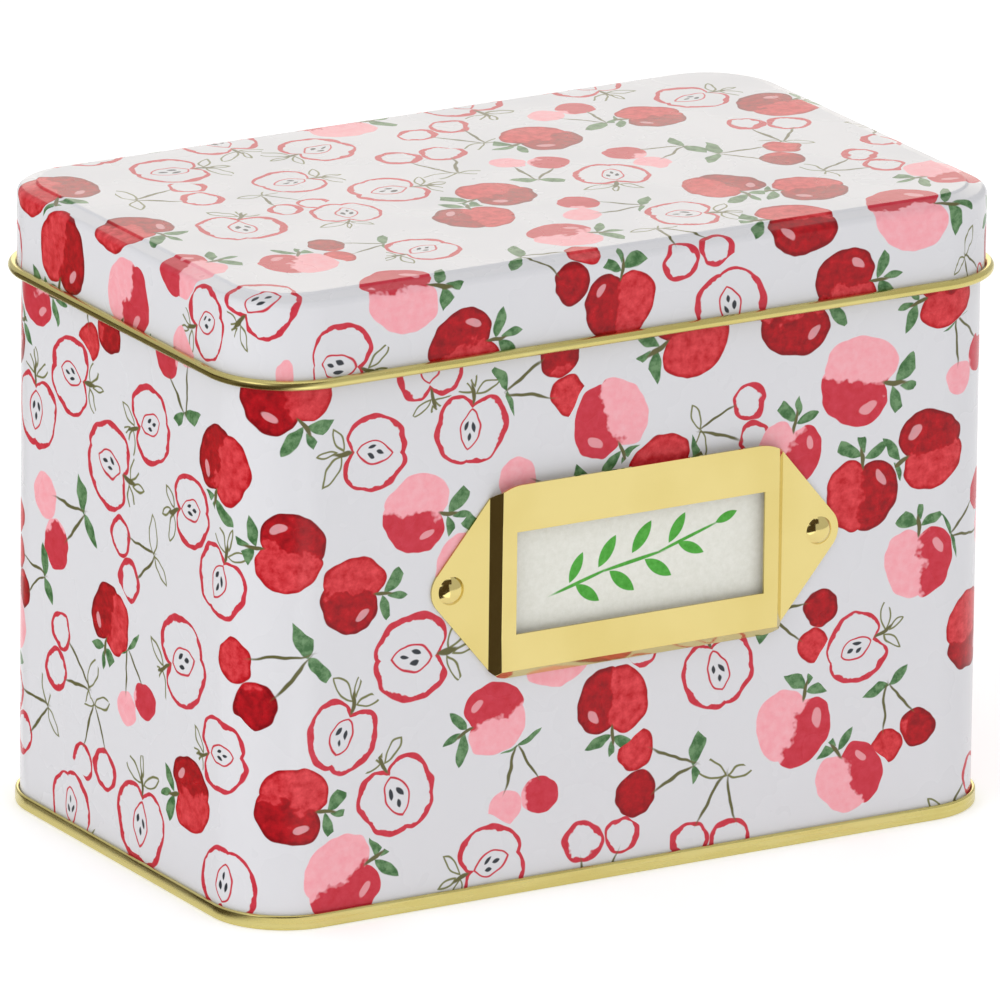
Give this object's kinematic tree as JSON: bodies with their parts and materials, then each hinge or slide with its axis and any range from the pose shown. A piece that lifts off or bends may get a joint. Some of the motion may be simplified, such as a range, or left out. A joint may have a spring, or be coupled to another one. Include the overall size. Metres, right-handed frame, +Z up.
{
  "type": "recipe tin",
  "caption": "Rectangular printed tin box with a lift-off lid, a gilt rolled edge and foot seam, and a riveted card holder on its front.",
  "frame": {"origin": "centre of the ring that the tin stands on, at the bottom of the foot seam", "axes": "+X along the tin's length to the right of the front, +Y to the back, +Z up; the card holder is on the front, which faces -Y"},
  "size_m": [0.1752, 0.1102, 0.1279],
  "materials": {
    "printed_body_tinplate": "white coated and printed tinplate, glossy varnish, gold lacquer inside",
    "printed_lid_tinplate": "white coated and printed tinplate, glossy varnish, gold lacquer inside and on the rolled edge",
    "gold_lacquered_tinplate": "gold lacquered tinplate, semi-gloss",
    "brass_plated_steel": "bright brass plating, polished",
    "brass_rivet": "bright brass plating, polished dome",
    "card_stock": "uncoated white card"
  },
  "bodies": {
    "tin": {"body_wall": "printed_body_tinplate", "base_panel": "gold_lacquered_tinplate", "label_holder": "brass_plated_steel", "rivet_left": "brass_rivet", "rivet_right": "brass_rivet"},
    "lid": {"lid": "printed_lid_tinplate"},
    "card": {"label_card": "card_stock"}
  },
  "joints": [
    {"name": "lid_lift", "type": "slide", "parent": "tin", "child": "lid", "axis": [0, 0, 1], "range_m": [0, 0.06]},
    {"name": "card_slide", "type": "slide", "parent": "tin", "child": "card", "axis": [0, 0, 1], "range_m": [0, 0.0272]}
  ]
}
